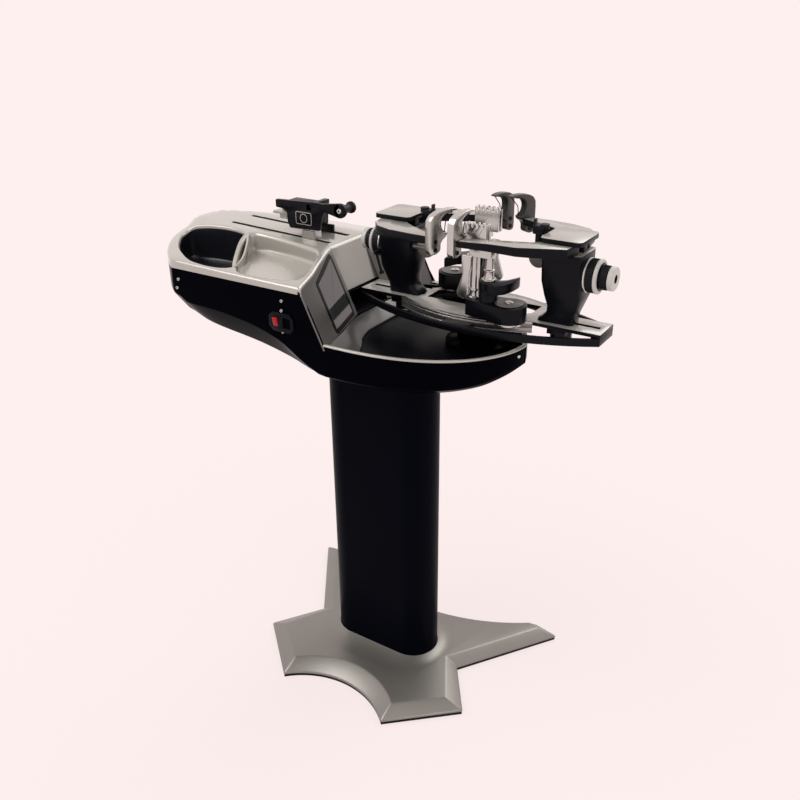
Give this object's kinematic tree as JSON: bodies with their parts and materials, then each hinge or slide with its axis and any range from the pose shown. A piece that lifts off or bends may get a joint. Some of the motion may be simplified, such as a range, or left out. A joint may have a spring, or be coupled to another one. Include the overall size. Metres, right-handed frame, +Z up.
{
  "type": "racket stringing machine",
  "caption": "Floor-standing machine with a powered string tensioner and a rotating table whose towers, hooks and clamps hold a racket frame.",
  "frame": {"origin": "on the floor, under the middle of the column", "axes": "+Z up, +X along the housing towards the turntable, -Y towards the operator side with the control panel and mains inlet"},
  "size_m": [0.9456, 0.4648, 1.085],
  "materials": {
    "black_paint": "satin",
    "black_plastic": "semi-gloss",
    "cover_plastic": "satin",
    "cast_grey": "satin",
    "steel": "brushed",
    "aluminium": "brushed",
    "dark_plastic": "matt",
    "panel_glass": "gloss",
    "red_plastic": "gloss"
  },
  "bodies": {
    "stand": {"base_plate": "black_paint", "base_cover": "cast_grey", "column": "black_paint", "lower_shell": "black_plastic", "top_cover": "cover_plastic", "tray_liner": "dark_plastic", "tool_bin": "dark_plastic", "control_panel": "panel_glass", "power_inlet": "black_plastic", "guide_rod_near": "steel", "lead_screw": "steel", "guide_rod_far": "steel", "rail_bracket_rear": "cast_grey", "rail_bracket_front": "cast_grey", "bearing_housing": "black_paint"},
    "power_rocker": {"power_rocker": "red_plastic"},
    "tension_carriage": {"tension_carriage": "cast_grey", "drive_motor": "dark_plastic", "tension_head": "black_paint"},
    "gripper_jaw": {"gripper_jaw": "steel"},
    "guide_roller": {"guide_roller": "dark_plastic"},
    "turntable": {"turntable_plate": "aluminium", "turntable_frame": "black_paint", "glide_rail_near": "aluminium", "glide_rail_far": "aluminium"},
    "tower_right": {"tower_right": "black_paint"},
    "arm_long_right": {"arm_long_right": "black_paint", "hook_long_right": "steel"},
    "arm_short_right": {"arm_short_right": "black_paint", "hook_short_right": "steel"},
    "arm_knob_right": {"arm_knob_right": "dark_plastic"},
    "support_knob_right": {"support_knob_right": "dark_plastic"},
    "center_support_right": {"center_support_right": "dark_plastic"},
    "side_lever_right": {"side_lever_right": "cast_grey"},
    "lock_lever_right": {"lock_lever_right": "black_paint"},
    "clamp_slide_right": {"clamp_slide_right": "steel"},
    "clamp_arm_right": {"clamp_arm_right": "black_paint", "clamp_post_right": "steel"},
    "clamp_paddle_right": {"clamp_paddle_right": "dark_plastic"},
    "clamp_lever_right": {"clamp_lever_right": "steel"},
    "clamp_jaw_right": {"clamp_jaw_right": "steel"},
    "tower_left": {"tower_left": "black_paint"},
    "arm_long_left": {"arm_long_left": "black_paint", "hook_long_left": "steel"},
    "arm_short_left": {"arm_short_left": "black_paint", "hook_short_left": "steel"},
    "arm_knob_left": {"arm_knob_left": "dark_plastic"},
    "support_knob_left": {"support_knob_left": "dark_plastic"},
    "center_support_left": {"center_support_left": "dark_plastic"},
    "side_lever_left": {"side_lever_left": "cast_grey"},
    "lock_lever_left": {"lock_lever_left": "black_paint"},
    "clamp_slide_left": {"clamp_slide_left": "steel"},
    "clamp_arm_left": {"clamp_arm_left": "black_paint", "clamp_post_left": "steel"},
    "clamp_paddle_left": {"clamp_paddle_left": "dark_plastic"},
    "clamp_lever_left": {"clamp_lever_left": "steel"},
    "clamp_jaw_left": {"clamp_jaw_left": "steel"}
  },
  "joints": [
    {"name": "power_rocker_tilt", "type": "hinge", "parent": "stand", "child": "power_rocker", "pos_m": [-0.07, -0.2365, 0.877], "axis": [1, 0, 0], "range_deg": [-12, 0]},
    {"name": "tension_carriage_slide", "type": "slide", "parent": "stand", "child": "tension_carriage", "axis": [-1, 0, 0], "range_m": [0, 0.18]},
    {"name": "gripper_jaw_slide", "type": "slide", "parent": "tension_carriage", "child": "gripper_jaw", "axis": [0, 1, 0], "range_m": [0, 0.005]},
    {"name": "guide_roller_spin", "type": "hinge", "parent": "tension_carriage", "child": "guide_roller", "pos_m": [-0.073, 0, 1.0315], "axis": [0, 1, 0], "continuous": true},
    {"name": "turntable_spin", "type": "hinge", "parent": "stand", "child": "turntable", "pos_m": [0.216, 0, 0.889], "axis": [0, 0, 1], "continuous": true},
    {"name": "tower_slide_right", "type": "slide", "parent": "turntable", "child": "tower_right", "axis": [1, 0, 0], "range_m": [-0.008, 0.01]},
    {"name": "arm_knob_turn_right", "type": "hinge", "parent": "tower_right", "child": "arm_knob_right", "pos_m": [0.4173, 0, 0.979], "axis": [1, 0, 0], "range_deg": [-150, 75]},
    {"name": "arm_long_swing_right", "type": "hinge", "parent": "tower_right", "child": "arm_long_right", "pos_m": [0.381, -0.026, 1.0255], "axis": [0, 0, 1], "range_deg": [-3.1, 3.1]},
    {"name": "arm_short_swing_right", "type": "hinge", "parent": "tower_right", "child": "arm_short_right", "pos_m": [0.381, 0.026, 1.0255], "axis": [0, 0, 1], "range_deg": [-3.1, 3.1]},
    {"name": "support_knob_turn_right", "type": "hinge", "parent": "tower_right", "child": "support_knob_right", "pos_m": [0.4416, 0, 0.979], "axis": [1, 0, 0], "range_deg": [0, 720]},
    {"name": "center_support_lift_right", "type": "slide", "parent": "tower_right", "child": "center_support_right", "axis": [0, 0, 1], "range_m": [0, 0.0081]},
    {"name": "side_lever_turn_right", "type": "hinge", "parent": "tower_right", "child": "side_lever_right", "pos_m": [0.328, 0.024, 0.987], "axis": [1, 0, 0], "range_deg": [0, 90]},
    {"name": "lock_lever_swing_right", "type": "hinge", "parent": "tower_right", "child": "lock_lever_right", "pos_m": [0.412, 0.046, 0.969], "axis": [0, 1, 0], "range_deg": [-20, 20]},
    {"name": "clamp_slide_travel_right", "type": "slide", "parent": "turntable", "child": "clamp_slide_right", "axis": [1, 0, 0], "range_m": [-0.01, 0.01]},
    {"name": "clamp_swing_right", "type": "hinge", "parent": "clamp_slide_right", "child": "clamp_arm_right", "pos_m": [0.302, -0.058, 0.909], "axis": [0, 0, 1], "range_deg": [-4, 2.5]},
    {"name": "clamp_paddle_turn_right", "type": "hinge", "parent": "clamp_arm_right", "child": "clamp_paddle_right", "pos_m": [0.262, -0.058, 0.949], "axis": [0, 0, 1], "range_deg": [-20, 20]},
    {"name": "clamp_lever_lift_right", "type": "hinge", "parent": "clamp_arm_right", "child": "clamp_lever_right", "pos_m": [0.2234, -0.058, 0.993], "axis": [0, 1, 0], "range_deg": [0, 25]},
    {"name": "clamp_jaw_close_right", "type": "slide", "parent": "clamp_arm_right", "child": "clamp_jaw_right", "axis": [0, -1, 0], "range_m": [0, 0.0051]},
    {"name": "tower_slide_left", "type": "slide", "parent": "turntable", "child": "tower_left", "axis": [-1, 0, 0], "range_m": [-0.008, 0.01]},
    {"name": "arm_knob_turn_left", "type": "hinge", "parent": "tower_left", "child": "arm_knob_left", "pos_m": [0.0147, 0, 0.979], "axis": [-1, 0, 0], "range_deg": [-150, 75]},
    {"name": "arm_long_swing_left", "type": "hinge", "parent": "tower_left", "child": "arm_long_left", "pos_m": [0.051, 0.026, 1.0255], "axis": [0, 0, 1], "range_deg": [-3.1, 3.1]},
    {"name": "arm_short_swing_left", "type": "hinge", "parent": "tower_left", "child": "arm_short_left", "pos_m": [0.051, -0.026, 1.0255], "axis": [0, 0, 1], "range_deg": [-3.1, 3.1]},
    {"name": "support_knob_turn_left", "type": "hinge", "parent": "tower_left", "child": "support_knob_left", "pos_m": [-0.0096, 0, 0.979], "axis": [-1, 0, 0], "range_deg": [0, 720]},
    {"name": "center_support_lift_left", "type": "slide", "parent": "tower_left", "child": "center_support_left", "axis": [0, 0, 1], "range_m": [0, 0.0081]},
    {"name": "side_lever_turn_left", "type": "hinge", "parent": "tower_left", "child": "side_lever_left", "pos_m": [0.104, -0.024, 0.987], "axis": [-1, 0, 0], "range_deg": [0, 90]},
    {"name": "lock_lever_swing_left", "type": "hinge", "parent": "tower_left", "child": "lock_lever_left", "pos_m": [0.02, -0.046, 0.969], "axis": [0, -1, 0], "range_deg": [-20, 20]},
    {"name": "clamp_slide_travel_left", "type": "slide", "parent": "turntable", "child": "clamp_slide_left", "axis": [-1, 0, 0], "range_m": [-0.01, 0.01]},
    {"name": "clamp_swing_left", "type": "hinge", "parent": "clamp_slide_left", "child": "clamp_arm_left", "pos_m": [0.13, 0.058, 0.909], "axis": [0, 0, 1], "range_deg": [-4, 2.5]},
    {"name": "clamp_paddle_turn_left", "type": "hinge", "parent": "clamp_arm_left", "child": "clamp_paddle_left", "pos_m": [0.17, 0.058, 0.949], "axis": [0, 0, 1], "range_deg": [-20, 20]},
    {"name": "clamp_lever_lift_left", "type": "hinge", "parent": "clamp_arm_left", "child": "clamp_lever_left", "pos_m": [0.2086, 0.058, 0.993], "axis": [0, -1, 0], "range_deg": [0, 25]},
    {"name": "clamp_jaw_close_left", "type": "slide", "parent": "clamp_arm_left", "child": "clamp_jaw_left", "axis": [0, 1, 0], "range_m": [0, 0.0051]}
  ],
  "couplings": [
    {"joint": "arm_long_swing_right", "follows": "arm_knob_turn_right", "ratio": -0.016667},
    {"joint": "arm_short_swing_right", "follows": "arm_knob_turn_right", "ratio": 0.016667},
    {"joint": "center_support_lift_right", "follows": "support_knob_turn_right", "m_per_rad": 0.000636},
    {"joint": "clamp_jaw_close_right", "follows": "clamp_lever_lift_right", "m_per_rad": 0.01146},
    {"joint": "arm_long_swing_left", "follows": "arm_knob_turn_left", "ratio": -0.016667},
    {"joint": "arm_short_swing_left", "follows": "arm_knob_turn_left", "ratio": 0.016667},
    {"joint": "center_support_lift_left", "follows": "support_knob_turn_left", "m_per_rad": 0.000636},
    {"joint": "clamp_jaw_close_left", "follows": "clamp_lever_lift_left", "m_per_rad": 0.01146}
  ]
}
